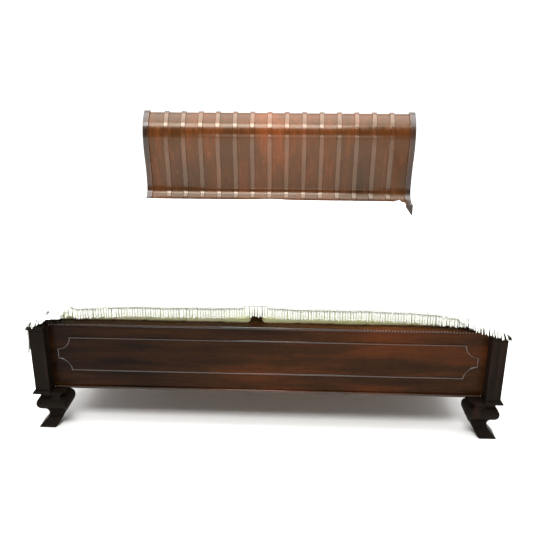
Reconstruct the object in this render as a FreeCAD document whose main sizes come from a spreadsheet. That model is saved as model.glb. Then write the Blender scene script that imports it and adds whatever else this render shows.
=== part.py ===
"""Sleigh bed for two mattresses laid side by side.

The frame stands on the floor at z = 0 with its origin at the middle of the
bed. +Z is up, +Y points from the foot of the bed to its head, and +X points
to the right of someone who stands at the foot and looks at the headboard.
All sizes are millimetres.
"""
import FreeCAD, Part
import math
import os
import re
import Sketcher

Vector = FreeCAD.Vector
UP = Vector(0, 0, 1)

# ---------------------------------------------------------------------------
# Driving dimensions
# ---------------------------------------------------------------------------

SIZES = {
    # foot end
    "post_front": -1112,
    "post_outer": 1050,
    "post_width": 66,
    "post_depth": 90,
    "footboard_top": 508,
    "footboard_bottom": 180,
    "rail_cap_height": 14,
    "rail_cap_depth": 40,
    "bottom_rail_height": 12,
    "bottom_rail_depth": 36,
    "panel_recess": 60,
    "panel_thickness": 30,
    "panel_groove": 12,
    "cap_height": 12,
    "cap_overhang": 8,
    "base_height": 12,
    "base_overhang": 12,
    "inner_post_width": 145,
    "inner_post_depth": 60,
    "inner_post_top": 466,
    "inner_post_inset": 5,
    "top_rail_set_back": 6,
    "bead_radius": 6,
    "frame_half_width": 953,
    "frame_bottom": 268,
    "frame_top": 440,
    "frame_scoop": 58,
    "frame_bead": 8,
    "frame_relief": 4,
    # front feet
    "foot_inner_top": 915,
    "foot_inner_notch": 947,
    "foot_belly": 917,
    "foot_ankle": 1014,
    "foot_knee": 1054,
    "foot_toe_inner": 978,
    "foot_neck_inset": 8,
    "dowel_diameter": 25,
    "dowel_length": 80,
    "dowel_inset": 70,
    "dowel_set_forward": 10,
    # side rails and deck
    "rail_inner": 940,
    "rail_thickness": 30,
    "rail_top": 482,
    "rail_height": 250,
    "rail_bead_radius": 5,
    "rail_bead_height": 14,
    "ledger_size": 30,
    "deck_top": 488,
    "deck_thickness": 20,
    "deck_half_width": 938,
    "deck_board_count": 11,
    "deck_gap": 6,
    "deck_foot_clearance": 10,
    "deck_head_clearance": 4,
    "beam_width": 50,
    "beam_height": 80,
    "centre_leg_size": 45,
    "centre_leg_count": 2,
    "centre_leg_spacing": 800,
    "centre_leg_chamfer": 4,
    "hanger_thickness": 2,
    "hanger_flange": 20,
    "hanger_reach": 40,
    "hanger_cheek": 50,
    "hook_plate_width": 22,
    "hook_plate_height": 130,
    "hook_plate_thickness": 3,
    "hook_thickness": 4,
    "hook_height": 24,
    "hook_reach": 12,
    "hook_margin": 24,
    "hook_clearance": 2,
    "hook_drop": 8,
    "pocket_margin": 12,
    # headboard
    "nose_reach": 2003,
    "nose_top": 588,
    "nose_height": 76,
    "nose_thickness": 18,
    "ledge_rise": 12,
    "scoop_radius": 90,
    "waist_reach": 2146,
    "lower_curve_radius": 700,
    "upper_curve_radius": 558,
    "curve_turn": 16.53,
    "roll_radius": 205,
    "roll_turn": 58,
    "lip_radius": 30,
    "lip_turn": 90,
    "stile_inner": 932,
    "stile_thickness": 40,
    "stile_depth": 60,
    "leg_front_reach": 2130,
    "stave_recess": 12,
    "stave_thickness": 16,
    "stave_count": 15,
    "stave_gap": 0.6,
    "rib_recess": 3,
    "rib_width": 34,
    "rib_rounding": 3,
    "stile_bead_width": 5,
    "stile_bead_relief": 2.5,
    "batten_thickness": 30,
    "lower_rail_reach": 2140,
    "lower_rail_thickness": 30,
    "lower_rail_bottom": 220,
    "lower_rail_top": 500,
    "tenon_length": 20,
    "tenon_thickness": 14,
    "tenon_shoulder": 8,
    "tenon_margin": 30,
    "bearer_height": 40,
    "ledge_rounding": 9,
    "ledge_chamfer": 4,
    # bedding
    "mattress_width": 920,
    "mattress_length": 1888,
    "mattress_thickness": 126,
    "mattress_gap": 20,
    "mattress_offset": -45,
    "mattress_setback": 103,
    "mattress_rounding": 28,
    "mattress_lift": 0.5,
    "coverlet_thickness": 5,
    "coverlet_clearance": 3,
    "coverlet_front_drop": 28,
    "coverlet_side_drop": 77,
    "fringe_length": 48,
}

doc = FreeCAD.newDocument("SleighBed")
sheet = doc.addObject("Spreadsheet::Sheet", "Sizes")
for row, (alias, value) in enumerate(SIZES.items(), start=1):
    sheet.set("A%d" % row, alias)
    sheet.set("B%d" % row, str(value))
    sheet.setAlias("B%d" % row, alias)
doc.recompute()

nodes = []


# ---------------------------------------------------------------------------
# Helpers
# ---------------------------------------------------------------------------

def size(alias):
    """One driving dimension, read back from the spreadsheet."""
    return float(sheet.get(alias))


def bound(expression):
    """The expression with each alias written as a reference to the sheet."""
    def reference(match):
        word = match.group(0)
        return "Sizes." + word if word in SIZES else word
    return re.sub(r"[a-z_]+", reference, expression)


def mirrored(span):
    """The same span on the other side of the bed's centre plane."""
    low, high = span
    return "-(%s)" % high, "-(%s)" % low


def sided(span, side):
    return span if side == "right" else mirrored(span)


def node(feature, label):
    """Give a finished sub-part its label and list it for export."""
    feature.Label = label
    nodes.append(feature)
    return feature


def box(name, x, y, z):
    """A box between two expressions on each axis."""
    block = doc.addObject("Part::Box", name)
    for side, axis, (low, high) in zip(("Length", "Width", "Height"), "xyz", (x, y, z)):
        block.setExpression(side, bound("(%s) - (%s)" % (high, low)))
        block.setExpression(".Placement.Base." + axis, bound(low))
    return block


def cut(name, base, *tools):
    """The base with every tool taken away."""
    result = base
    for number, tool in enumerate(tools, start=1):
        step = doc.addObject("Part::Cut", "%s_cut_%d" % (name, number))
        step.Base = result
        step.Tool = tool
        result = step
    return result


def fuse(name, *shapes):
    union = doc.addObject("Part::MultiFuse", name + "_union")
    union.Shapes = list(shapes)
    return union


def group(name, *shapes):
    """Separate solids kept together as one sub-part."""
    compound = doc.addObject("Part::Compound", name + "_group")
    compound.Links = list(shapes)
    return compound


def upright_cylinder(name, x, y, low, high, diameter):
    cylinder = doc.addObject("Part::Cylinder", name)
    cylinder.setExpression("Radius", bound("(%s) / 2" % diameter))
    cylinder.setExpression("Height", bound("(%s) - (%s)" % (high, low)))
    cylinder.setExpression(".Placement.Base.x", bound(x))
    cylinder.setExpression(".Placement.Base.y", bound(y))
    cylinder.setExpression(".Placement.Base.z", bound(low))
    return cylinder


def origin_feature(body, role):
    return [item for item in body.Origin.OriginFeatures if item.Role == role][0]


def new_body(name):
    body = doc.addObject("PartDesign::Body", name)
    body.AllowCompound = True
    return body


def new_sketch(body, plane):
    sketch = body.newObject("Sketcher::SketchObject", body.Name + "_sketch")
    sketch.AttachmentSupport = (origin_feature(body, plane), [""])
    sketch.MapMode = "FlatFace"
    return sketch


def arc_edge(start, middle, end):
    """An anticlockwise arc through three points, and whether it was turned round."""
    ax, ay = middle.x - start.x, middle.y - start.y
    bx, by = end.x - start.x, end.y - start.y
    cross = 2 * (ax * by - ay * bx)
    a_square = ax * ax + ay * ay
    b_square = bx * bx + by * by
    across = (by * a_square - ay * b_square) / cross
    up = (ax * b_square - bx * a_square) / cross
    centre = start + Vector(across, up, 0)
    turned = cross < 0
    first, last = (end, start) if turned else (start, end)
    first_angle = math.atan2(first.y - centre.y, first.x - centre.x)
    last_angle = math.atan2(last.y - centre.y, last.x - centre.x)
    if last_angle < first_angle:
        last_angle += 2 * math.pi
    circle = Part.Circle(centre, UP, (first - centre).Length)
    return Part.ArcOfCircle(circle, first_angle, last_angle), turned


def draw(sketch, start, steps):
    """A closed outline. A step is an end point, or a middle point and an end point for an arc."""
    here = start
    joints = []
    for step in list(steps) + [start]:
        if isinstance(step, tuple):
            middle, end = step
            edge, turned = arc_edge(here, middle, end)
        else:
            end, turned = step, False
            if (end - here).Length < 1e-6:
                continue
            edge = Part.LineSegment(here, end)
        index = sketch.addGeometry(edge)
        joints.append((index, 2 if turned else 1, 1 if turned else 2))
        here = end
    links = []
    for (index, _, tail), (following, head, _) in zip(joints, joints[1:] + joints[:1]):
        links.append(Sketcher.Constraint("Coincident", index, tail, following, head))
    sketch.addConstraint(links)


def pad(body, sketch, length, symmetric=False):
    feature = body.newObject("PartDesign::Pad", body.Name + "_pad")
    feature.Profile = sketch
    feature.setExpression("Length", bound(length))
    feature.Midplane = symmetric
    doc.recompute()
    return feature


def row_of(body, axis, count, spacing):
    """Repeat the whole body along one of its axes."""
    pattern = body.newObject("PartDesign::LinearPattern", body.Name + "_row")
    pattern.TransformMode = "Whole shape"
    pattern.Direction = (origin_feature(body, axis), [""])
    pattern.setExpression("Occurrences", bound(count))
    pattern.setExpression("Length", bound("(%s) * ((%s) - 1)" % (spacing, count)))
    body.Tip = pattern
    return pattern


def rounded(body, base, edges, radius):
    """Round the edges of the base feature that the test picks."""
    names = ["Edge%d" % number for number, edge in enumerate(base.Shape.Edges, start=1) if edges(edge)]
    fillet = body.newObject("PartDesign::Fillet", body.Name + "_round")
    fillet.Base = (base, names)
    fillet.setExpression("Radius", bound(radius))
    body.Tip = fillet
    return fillet


def chamfered(body, base, edges, radius):
    names = ["Edge%d" % number for number, edge in enumerate(base.Shape.Edges, start=1) if edges(edge)]
    chamfer = body.newObject("PartDesign::Chamfer", body.Name + "_chamfer")
    chamfer.Base = (base, names)
    chamfer.setExpression("Size", bound(radius))
    body.Tip = chamfer
    return chamfer


# ---------------------------------------------------------------------------
# Foot end: posts, panel and mouldings
# ---------------------------------------------------------------------------

POST_X = ("post_outer - post_width", "post_outer")
POST_Y = ("post_front", "post_front + post_depth")
PANEL_Y = ("post_front + panel_recess", "post_front + panel_recess + panel_thickness")
INNER_POST_Y = ("post_front + post_depth", "post_front + post_depth + inner_post_depth")
INNER_POST_X = ("post_outer - inner_post_width", "post_outer - inner_post_inset")
FACE_HEIGHTS = ("footboard_bottom + bottom_rail_height", "footboard_top - rail_cap_height")


def make_foot_post(side):
    """The post that stands proud of the footboard, grooved for the panel's edge."""
    name = "foot_post_" + side
    heights = ("footboard_bottom + base_height", "footboard_top - cap_height")
    block = box(name + "_block", sided(POST_X, side), POST_Y, heights)
    groove_x = sided(("post_outer - post_width - 1", "post_outer - post_width + panel_groove"), side)
    groove = box(name + "_groove", groove_x, PANEL_Y, FACE_HEIGHTS)
    node(cut(name, block, groove), name)


def make_inner_post(side):
    """The post glued behind the footboard, which carries the side rail."""
    name = "inner_post_" + side
    heights = ("footboard_bottom", "inner_post_top")
    block = box(name + "_block", sided(INNER_POST_X, side), INNER_POST_Y, heights)
    slot = hook_mortise(name, side, "foot")
    dowel_hole = upright_cylinder(name + "_dowel_hole", dowel_x(side), DOWEL_Y, "0",
                                  "footboard_bottom + dowel_length / 2", "dowel_diameter")
    node(cut(name, block, *slot, dowel_hole), name)


def moulded_plate(name, side, low, high, overhang, thick_edge):
    """A square plate round the top or bottom of a post, chamfered on one rim."""
    body = new_body(name)
    sketch = new_sketch(body, "XY_Plane")
    reach = size(overhang)
    left = size("post_outer") - size("post_width")
    right = size("post_outer") + reach
    front = size("post_front") - reach
    back = size("post_front") + size("post_depth")
    if side == "left":
        left, right = -right, -left
    corners = [Vector(right, front, 0), Vector(right, back, 0), Vector(left, back, 0)]
    draw(sketch, Vector(left, front, 0), corners)
    plate = pad(body, sketch, "(%s) - (%s)" % (high, low))
    rim_height = 0 if thick_edge == "top" else plate.Shape.BoundBox.ZMax
    outer = right if side == "right" else left

    def on_outer_rim(edge):
        middle = edge.BoundBox.Center
        low_rim = abs(middle.z - rim_height) < 0.01
        return low_rim and (abs(middle.y - front) < 0.01 or abs(middle.x - outer) < 0.01)
    chamfered(body, plate, on_outer_rim, "(%s) * 0.55" % overhang)
    body.setExpression(".Placement.Base.z", bound(low))
    node(body, name)


def make_panel():
    """The footboard panel, its ends let into the posts."""
    reach = "post_outer - post_width + panel_groove"
    node(box("footboard_panel", ("-(%s)" % reach, reach), PANEL_Y, FACE_HEIGHTS), "footboard_panel")


def make_panel_rails():
    """The strips that cap the panel above and below, each with a rounded front edge for the beads."""
    reach = "post_outer - post_width"
    back = "post_front + panel_recess + panel_thickness"
    across = ("-(%s)" % reach, reach)
    top_back = back + " + top_rail_set_back"
    rails = {
        "footboard_top_rail": (top_back + " - rail_cap_depth", top_back, FACE_HEIGHTS[1], "footboard_top"),
        "footboard_bottom_rail": (back + " - bottom_rail_depth", back, "footboard_bottom", FACE_HEIGHTS[0]),
    }
    for name, (front, behind, low, high) in rails.items():
        node(box(name, across, (front, behind), (low, high)), name)


def make_bead_strip(name, front, height):
    """A half-round strip along the front of a panel rail, which the carved beads stand on."""
    body = new_body(name)
    sketch = new_sketch(body, "YZ_Plane")
    radius = size("bead_radius")
    draw(sketch, Vector(0, radius, 0), [(Vector(-radius, 0, 0), Vector(0, -radius, 0))])
    pad(body, sketch, "2 * (post_outer - post_width)", symmetric=True)
    body.setExpression(".Placement.Base.y", bound(front))
    body.setExpression(".Placement.Base.z", bound(height))
    node(body, name)


def scooped_outline(inset):
    """The frame's line at an inset, with hollow corners centred on the corners of its outer line."""
    half_width = size("frame_half_width")
    low = size("frame_bottom")
    high = size("frame_top")
    radius = size("frame_scoop") + inset
    reach = math.sqrt(radius ** 2 - inset ** 2)
    diagonal = radius * math.sqrt(0.5)
    start = Vector(-half_width + reach, low + inset, 0)
    steps = [
        Vector(half_width - reach, low + inset, 0),
        (Vector(half_width - diagonal, low + diagonal, 0), Vector(half_width - inset, low + reach, 0)),
        Vector(half_width - inset, high - reach, 0),
        (Vector(half_width - diagonal, high - diagonal, 0), Vector(half_width - reach, high - inset, 0)),
        Vector(-half_width + reach, high - inset, 0),
        (Vector(-half_width + diagonal, high - diagonal, 0), Vector(-half_width + inset, high - reach, 0)),
        Vector(-half_width + inset, low + reach, 0),
        (Vector(-half_width + diagonal, low + diagonal, 0), start),
    ]
    return start, steps


def make_frame_moulding():
    """The thin raised bead frame with scooped corners on the footboard's face."""
    name = "footboard_frame_moulding"
    body = new_body(name)
    sketch = new_sketch(body, "XZ_Plane")
    for inset in (0, size("frame_bead")):
        draw(sketch, *scooped_outline(inset))
    ring = pad(body, sketch, "frame_relief")
    front = ring.Shape.BoundBox.YMin

    def on_front(edge):
        return abs(edge.BoundBox.YMin - front) < 0.01 and abs(edge.BoundBox.YMax - front) < 0.01
    chamfered(body, ring, on_front, "frame_relief * 0.55")
    body.setExpression(".Placement.Base.y", bound("post_front + panel_recess"))
    node(body, name)


# ---------------------------------------------------------------------------
# Front feet
# ---------------------------------------------------------------------------

DOWEL_Y = "post_front + post_depth + inner_post_depth / 2 - dowel_set_forward"


def dowel_x(side):
    return "post_outer - dowel_inset" if side == "right" else "-(post_outer - dowel_inset)"


def foot_outline(flip):
    """The sawn outline of a scrolled foot: neck, knee, ankle and kicked toe."""
    top = size("footboard_bottom")
    knee = size("foot_knee")
    ankle = size("foot_ankle")
    notch = size("foot_inner_notch")
    belly = size("foot_belly")
    outer_neck = size("post_outer") - size("foot_neck_inset")

    def point(across, height):
        return Vector(flip * across, height, 0)
    start = point(knee, 0)
    steps = [
        (point(knee - 14, 14), point(knee - 24, 25)),
        (point(ankle, 57), point(ankle + 14, 85)),
        (point(knee, 122), point(knee - 16, 154)),
        point(outer_neck - 4, 154),
        (point(outer_neck - 6, 166), point(outer_neck, top)),
        point(size("foot_inner_top"), top),
        (point(size("foot_inner_top") + 20, 170), point(notch, 153)),
        (point(belly, 104), point(belly + 17, 66)),
        point(size("foot_toe_inner") - 8, 6),
        point(size("foot_toe_inner"), 0),
    ]
    return start, steps


def make_front_foot(side):
    """A foot sawn from a square blank to the same outline from its front and from its side."""
    name = "front_foot_" + side
    flip = 1 if side == "right" else -1
    across = doc.addObject("Sketcher::SketchObject", name + "_front_outline")
    draw(across, *foot_outline(flip))
    blank = 2 * size("inner_post_width")
    back = size("post_front") + blank
    across.Placement = FreeCAD.Placement(Vector(0, back, 0), FreeCAD.Rotation(Vector(1, 0, 0), 90))
    along = doc.addObject("Sketcher::SketchObject", name + "_side_outline")
    draw(along, *foot_outline(-1))
    depth_shift = size("post_outer") + size("post_front")
    inner = flip * (size("foot_knee") - blank)
    along.Placement = FreeCAD.Placement(Vector(inner, depth_shift, 0), FreeCAD.Rotation(Vector(1, 1, 1), 120))
    sawn = []
    for profile, direction in ((across, Vector(0, -1, 0)), (along, Vector(flip, 0, 0))):
        extrusion = doc.addObject("Part::Extrusion", profile.Name + "_sawn")
        extrusion.Base = profile
        extrusion.DirMode = "Custom"
        extrusion.Dir = direction
        extrusion.LengthFwd = 2 * blank
        extrusion.Solid = True
        sawn.append(extrusion)
    common = doc.addObject("Part::Common", name + "_block")
    common.Base, common.Tool = sawn
    low = "footboard_bottom - dowel_length / 2"
    dowel_hole = upright_cylinder(name + "_dowel_hole", dowel_x(side), DOWEL_Y,
                                  low, "footboard_bottom + 1", "dowel_diameter")
    node(cut(name, common, dowel_hole), name)


def make_dowels():
    """One wooden dowel holds each front foot to its inner post."""
    dowels = []
    for side in ("left", "right"):
        dowels.append(upright_cylinder("foot_dowel_" + side, dowel_x(side), DOWEL_Y,
                                       "footboard_bottom - dowel_length / 2",
                                       "footboard_bottom + dowel_length / 2", "dowel_diameter"))
    node(group("foot_dowels", *dowels), "foot_dowels")


# ---------------------------------------------------------------------------
# Side rails, their hook plates, and the deck
# ---------------------------------------------------------------------------

RAIL_X = ("rail_inner", "rail_inner + rail_thickness")
RAIL_Y = ("post_front + post_depth + inner_post_depth", "post_front + leg_front_reach")
RAIL_Z = ("rail_top - rail_height", "rail_top")
PLATE_MIDDLE_X = "rail_inner + rail_thickness / 2"
PLATE_LOW = "rail_top - rail_height / 2 - hook_plate_height / 2"
HOOK_HEIGHTS = ("hook_margin", "hook_plate_height - hook_margin - hook_height")


def centred_x(width, side, slack="0"):
    """A span centred on the rail's thickness."""
    half = "(%s) / 2 + %s" % (width, slack)
    return sided(("%s - (%s)" % (PLATE_MIDDLE_X, half), "%s + (%s)" % (PLATE_MIDDLE_X, half)), side)


def along_rail(end, near, far):
    """A span measured from the joint at one end of the rail towards the rail's middle."""
    if end == "foot":
        return "%s + %s" % (RAIL_Y[0], near), "%s + %s" % (RAIL_Y[0], far)
    return "%s - (%s)" % (RAIL_Y[1], far), "%s - (%s)" % (RAIL_Y[1], near)


def hook_mortise(name, side, end):
    """The seat of the post's plate, and the pocket behind it that takes the hooks."""
    heights = (PLATE_LOW, PLATE_LOW + " + hook_plate_height")
    seat = box("%s_%s_seat" % (name, end), centred_x("hook_plate_width", side),
               along_rail(end, "-hook_plate_thickness", "1"), heights)
    pocket = box("%s_%s_pocket" % (name, end), centred_x("hook_thickness", side, "hook_clearance"),
                 along_rail(end, "-(hook_plate_thickness + hook_reach)", "0"),
                 (PLATE_LOW + " + pocket_margin", PLATE_LOW + " + hook_plate_height - pocket_margin"))
    return seat, pocket


def rail_hook_plate(side, end):
    """A steel plate on the rail's end with two hooks that drop into the post's plate."""
    name = "rail_plate_%s_%s" % (side, end)
    heights = (PLATE_LOW, PLATE_LOW + " + hook_plate_height")
    depth = along_rail(end, "0", "hook_plate_thickness")
    plate = box(name, centred_x("hook_plate_width", side), depth, heights)
    hooks = []
    for number, height in enumerate(HOOK_HEIGHTS):
        low = "%s + %s" % (PLATE_LOW, height)
        hooks.append(box("%s_hook_%d" % (name, number), centred_x("hook_thickness", side),
                         along_rail(end, "-(hook_reach - 1)", "0"), (low, low + " + hook_height")))
    return fuse(name, plate, *hooks)


def post_hook_plate(side, end):
    """The slotted steel plate let into the post, which the hooks drop into."""
    name = "post_plate_%s_%s" % (side, end)
    heights = (PLATE_LOW, PLATE_LOW + " + hook_plate_height")
    depth = along_rail(end, "-hook_plate_thickness", "0")
    plate = box(name, centred_x("hook_plate_width", side), depth, heights)
    through = along_rail(end, "-(hook_plate_thickness + 1)", "1")
    wide = centred_x("hook_thickness", side, "hook_clearance / 2")
    slots = []
    for number, height in enumerate(HOOK_HEIGHTS):
        low = "%s + %s - hook_clearance" % (PLATE_LOW, height)
        opening = (low, low + " + hook_height + hook_drop")
        slots.append(box("%s_slot_%d" % (name, number), wide, through, opening))
    return cut(name, plate, *slots)


def make_hook_plates():
    corners = [(side, end) for side in ("left", "right") for end in ("foot", "head")]
    node(group("rail_hook_plates", *[rail_hook_plate(*corner) for corner in corners]), "rail_hook_plates")
    node(group("post_hook_plates", *[post_hook_plate(*corner) for corner in corners]), "post_hook_plates")


def make_side_rail(side):
    """A rail board, recessed at each end for its hook plate."""
    name = "side_rail_" + side
    board = box(name + "_board", sided(RAIL_X, side), RAIL_Y, RAIL_Z)
    heights = (PLATE_LOW, PLATE_LOW + " + hook_plate_height")
    seats = []
    for end in ("foot", "head"):
        seats.append(box("%s_%s_seat" % (name, end), centred_x("hook_plate_width", side),
                         along_rail(end, "-1", "hook_plate_thickness"), heights))
    node(cut(name, board, *seats), name)


def make_rail_moulding(side):
    """The half-round bead along the foot of the rail's outer face."""
    name = "rail_moulding_" + side
    body = new_body(name)
    sketch = new_sketch(body, "XZ_Plane")
    radius = size("rail_bead_radius")
    out = 1 if side == "right" else -1
    draw(sketch, Vector(0, -radius, 0), [(Vector(out * radius, 0, 0), Vector(0, radius, 0))])
    pad(body, sketch, "(%s) - (%s)" % (RAIL_Y[1], RAIL_Y[0]))
    outer_face = sided(RAIL_X, side)[1 if side == "right" else 0]
    body.setExpression(".Placement.Base.x", bound(outer_face))
    body.setExpression(".Placement.Base.y", bound(RAIL_Y[1]))
    body.setExpression(".Placement.Base.z", bound("rail_top - rail_height + rail_bead_height"))
    node(body, name)


LEDGER_TOP = "deck_top - deck_thickness"
LEDGER_Z = (LEDGER_TOP + " - ledger_size", LEDGER_TOP)


def make_ledger(side):
    """The cleat screwed inside a rail, which the deck boards lie on."""
    name = "rail_ledger_" + side
    node(box(name, sided(("rail_inner - ledger_size", "rail_inner"), side), RAIL_Y, LEDGER_Z), name)


def make_end_cleats(name, span):
    """Two cleats across one end of the bed, one each side of the centre beam."""
    reach = ("beam_width / 2 + hanger_flange", "post_outer - inner_post_width")
    pieces = [box("%s_%s" % (name, side), sided(reach, side), span, LEDGER_Z) for side in ("left", "right")]
    node(group(name, *pieces), name)


FOOT_CLEAT_Y = ("post_front + post_depth", "post_front + post_depth + ledger_size")
HEAD_CLEAT_Y = ("post_front + lower_rail_reach - ledger_size", "post_front + lower_rail_reach")
BEAM_Y = ("post_front + post_depth + hanger_thickness", "post_front + lower_rail_reach - hanger_thickness")
BEAM_Z = (LEDGER_TOP + " - beam_height", LEDGER_TOP)


def make_beam():
    """The centre beam under the deck."""
    node(box("centre_beam", ("-beam_width / 2", "beam_width / 2"), BEAM_Y, BEAM_Z), "centre_beam")


def beam_hanger(end):
    """A folded steel stirrup that carries one end of the centre beam."""
    name = "beam_hanger_" + end
    if end == "foot":
        back = ("post_front + post_depth", BEAM_Y[0])
        reach = (BEAM_Y[0], BEAM_Y[0] + " + hanger_reach")
    else:
        back = (BEAM_Y[1], "post_front + lower_rail_reach")
        reach = (BEAM_Y[1] + " - hanger_reach", BEAM_Y[1])
    half = "beam_width / 2"
    under = BEAM_Z[0] + " - hanger_thickness"
    cheek_top = BEAM_Z[0] + " + hanger_cheek"
    wide = "(%s + hanger_flange - 2)" % half
    flange = box(name + "_flange", ("-" + wide, wide), back, (under, cheek_top))
    floor = box(name + "_floor", ("-(%s + hanger_thickness)" % half, half + " + hanger_thickness"),
                reach, (under, BEAM_Z[0]))
    cheeks = []
    for side in ("left", "right"):
        cheeks.append(box("%s_cheek_%s" % (name, side), sided((half, half + " + hanger_thickness"), side),
                          reach, (under, cheek_top)))
    return fuse(name, flange, floor, *cheeks)


def make_centre_legs():
    """Square legs under the centre beam, chamfered where they meet the floor."""
    name = "centre_legs"
    body = new_body(name)
    sketch = new_sketch(body, "XY_Plane")
    half = size("centre_leg_size") / 2
    corners = [Vector(half, -half, 0), Vector(half, half, 0), Vector(-half, half, 0)]
    draw(sketch, Vector(-half, -half, 0), corners)
    leg = pad(body, sketch, BEAM_Z[0])
    chamfered(body, leg, lambda edge: edge.BoundBox.ZMax < 0.01, "centre_leg_chamfer")
    row_of(body, "Y_Axis", "centre_leg_count", "centre_leg_spacing")
    body.setExpression(".Placement.Base.y", bound("-centre_leg_spacing / 2"))
    node(body, name)


def make_deck():
    """Boards across the rails, laid with small gaps."""
    name = "deck_boards"
    body = new_body(name)
    sketch = new_sketch(body, "XY_Plane")
    start = size("post_front") + size("post_depth") + size("deck_foot_clearance")
    stop = size("post_front") + size("leg_front_reach") - size("deck_head_clearance")
    pitch = (stop - start + size("deck_gap")) / size("deck_board_count")
    half = size("deck_half_width")
    width = pitch - size("deck_gap")
    draw(sketch, Vector(-half, 0, 0), [Vector(half, 0, 0), Vector(half, width, 0), Vector(-half, width, 0)])
    pad(body, sketch, "deck_thickness")
    row_of(body, "Y_Axis", "deck_board_count", "%.4f" % pitch)
    body.setExpression(".Placement.Base.y", bound("post_front + post_depth + deck_foot_clearance"))
    body.setExpression(".Placement.Base.z", bound(LEDGER_TOP))
    node(body, name)


# ---------------------------------------------------------------------------
# Headboard: an S curve built from arcs that share centres at every depth
# ---------------------------------------------------------------------------

def on_circle(centre, radius, degrees):
    angle = math.radians(degrees)
    return centre + Vector(radius * math.cos(angle), radius * math.sin(angle), 0)


def curve_arcs(depth):
    """Centre, radius, first and last angle of each arc, at a depth behind the front line.

    They run from the scoop behind the ledge, up past the waist and the
    forward swell, and over the rolled top to the lip behind it.
    """
    front = size("post_front")
    turn = size("curve_turn")
    roll = size("roll_turn")
    waist_height = size("nose_top") + size("scoop_radius")
    scoop_centre = Vector(front + size("waist_reach") - size("scoop_radius"), waist_height, 0)
    lower_centre = Vector(front + size("waist_reach") - size("lower_curve_radius"), waist_height, 0)
    both = size("lower_curve_radius") + size("upper_curve_radius")
    upper_centre = on_circle(lower_centre, both, turn)
    swell = upper_centre - Vector(size("upper_curve_radius"), 0, 0)
    roll_centre = swell + Vector(size("roll_radius"), 0, 0)
    lip_centre = on_circle(roll_centre, size("roll_radius") - size("lip_radius"), 180 - roll)
    lip_end = 180 - roll - size("lip_turn")
    return [
        (scoop_centre, size("scoop_radius") + depth, -90, 0),
        (lower_centre, size("lower_curve_radius") + depth, 0, turn),
        (upper_centre, size("upper_curve_radius") - depth, 180 + turn, 180),
        (roll_centre, size("roll_radius") - depth, 180, 180 - roll),
        (lip_centre, size("lip_radius") - depth, 180 - roll, lip_end),
    ]


def upward_steps(arcs):
    return [(on_circle(c, r, (a + b) / 2), on_circle(c, r, b)) for c, r, a, b in arcs]


def downward_steps(arcs):
    return [(on_circle(c, r, (a + b) / 2), on_circle(c, r, a)) for c, r, a, b in reversed(arcs)]


def strip_outline(front_depth, back_depth, ledge_start):
    """The section of a strip that follows the whole curve between two depths."""
    front_arcs = curve_arcs(front_depth)
    back_arcs = curve_arcs(back_depth)
    start = Vector(ledge_start, size("nose_top") - front_depth, 0)
    steps = [on_circle(*front_arcs[0][:3])]
    steps += upward_steps(front_arcs)
    steps.append(on_circle(back_arcs[-1][0], back_arcs[-1][1], back_arcs[-1][3]))
    steps += downward_steps(back_arcs)
    steps.append(Vector(ledge_start, size("nose_top") - back_depth, 0))
    return start, steps


def curved_strip(name, front_depth, back_depth, ledge_start, width):
    body = new_body(name)
    sketch = new_sketch(body, "YZ_Plane")
    draw(sketch, *strip_outline(front_depth, back_depth, ledge_start))
    return body, pad(body, sketch, width)


LEDGE_BACK = "post_front + nose_reach + nose_thickness"
STAVE_PITCH = "2 * stile_inner / stave_count"


def ledge_back():
    return size("post_front") + size("nose_reach") + size("nose_thickness")


def make_staves():
    """Upright boards bent to the curve, edge to edge between the stiles."""
    front = size("stave_recess")
    body, _ = curved_strip("headboard_staves", front, front + size("stave_thickness"), ledge_back(),
                           STAVE_PITCH + " - stave_gap")
    row_of(body, "X_Axis", "stave_count", STAVE_PITCH)
    body.setExpression(".Placement.Base.x", bound("-stile_inner + stave_gap / 2"))
    node(body, "headboard_staves")


def make_ribs():
    """Raised ribs over the joints between the staves, rounded along both front edges."""
    front = size("rib_recess")
    body, strip = curved_strip("headboard_ribs", front, size("stave_recess"), ledge_back(), "rib_width")
    front_radii = [arc[1] for arc in curve_arcs(front)]

    def on_front(edge):
        round_edge = hasattr(edge.Curve, "Radius")
        return round_edge and any(abs(edge.Curve.Radius - radius) < 0.01 for radius in front_radii)
    rounded(body, strip, on_front, "rib_rounding")
    row_of(body, "X_Axis", "(stave_count - 1)", STAVE_PITCH)
    body.setExpression(".Placement.Base.x", bound("-stile_inner + %s - rib_width / 2" % STAVE_PITCH))
    node(body, "headboard_ribs")


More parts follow.
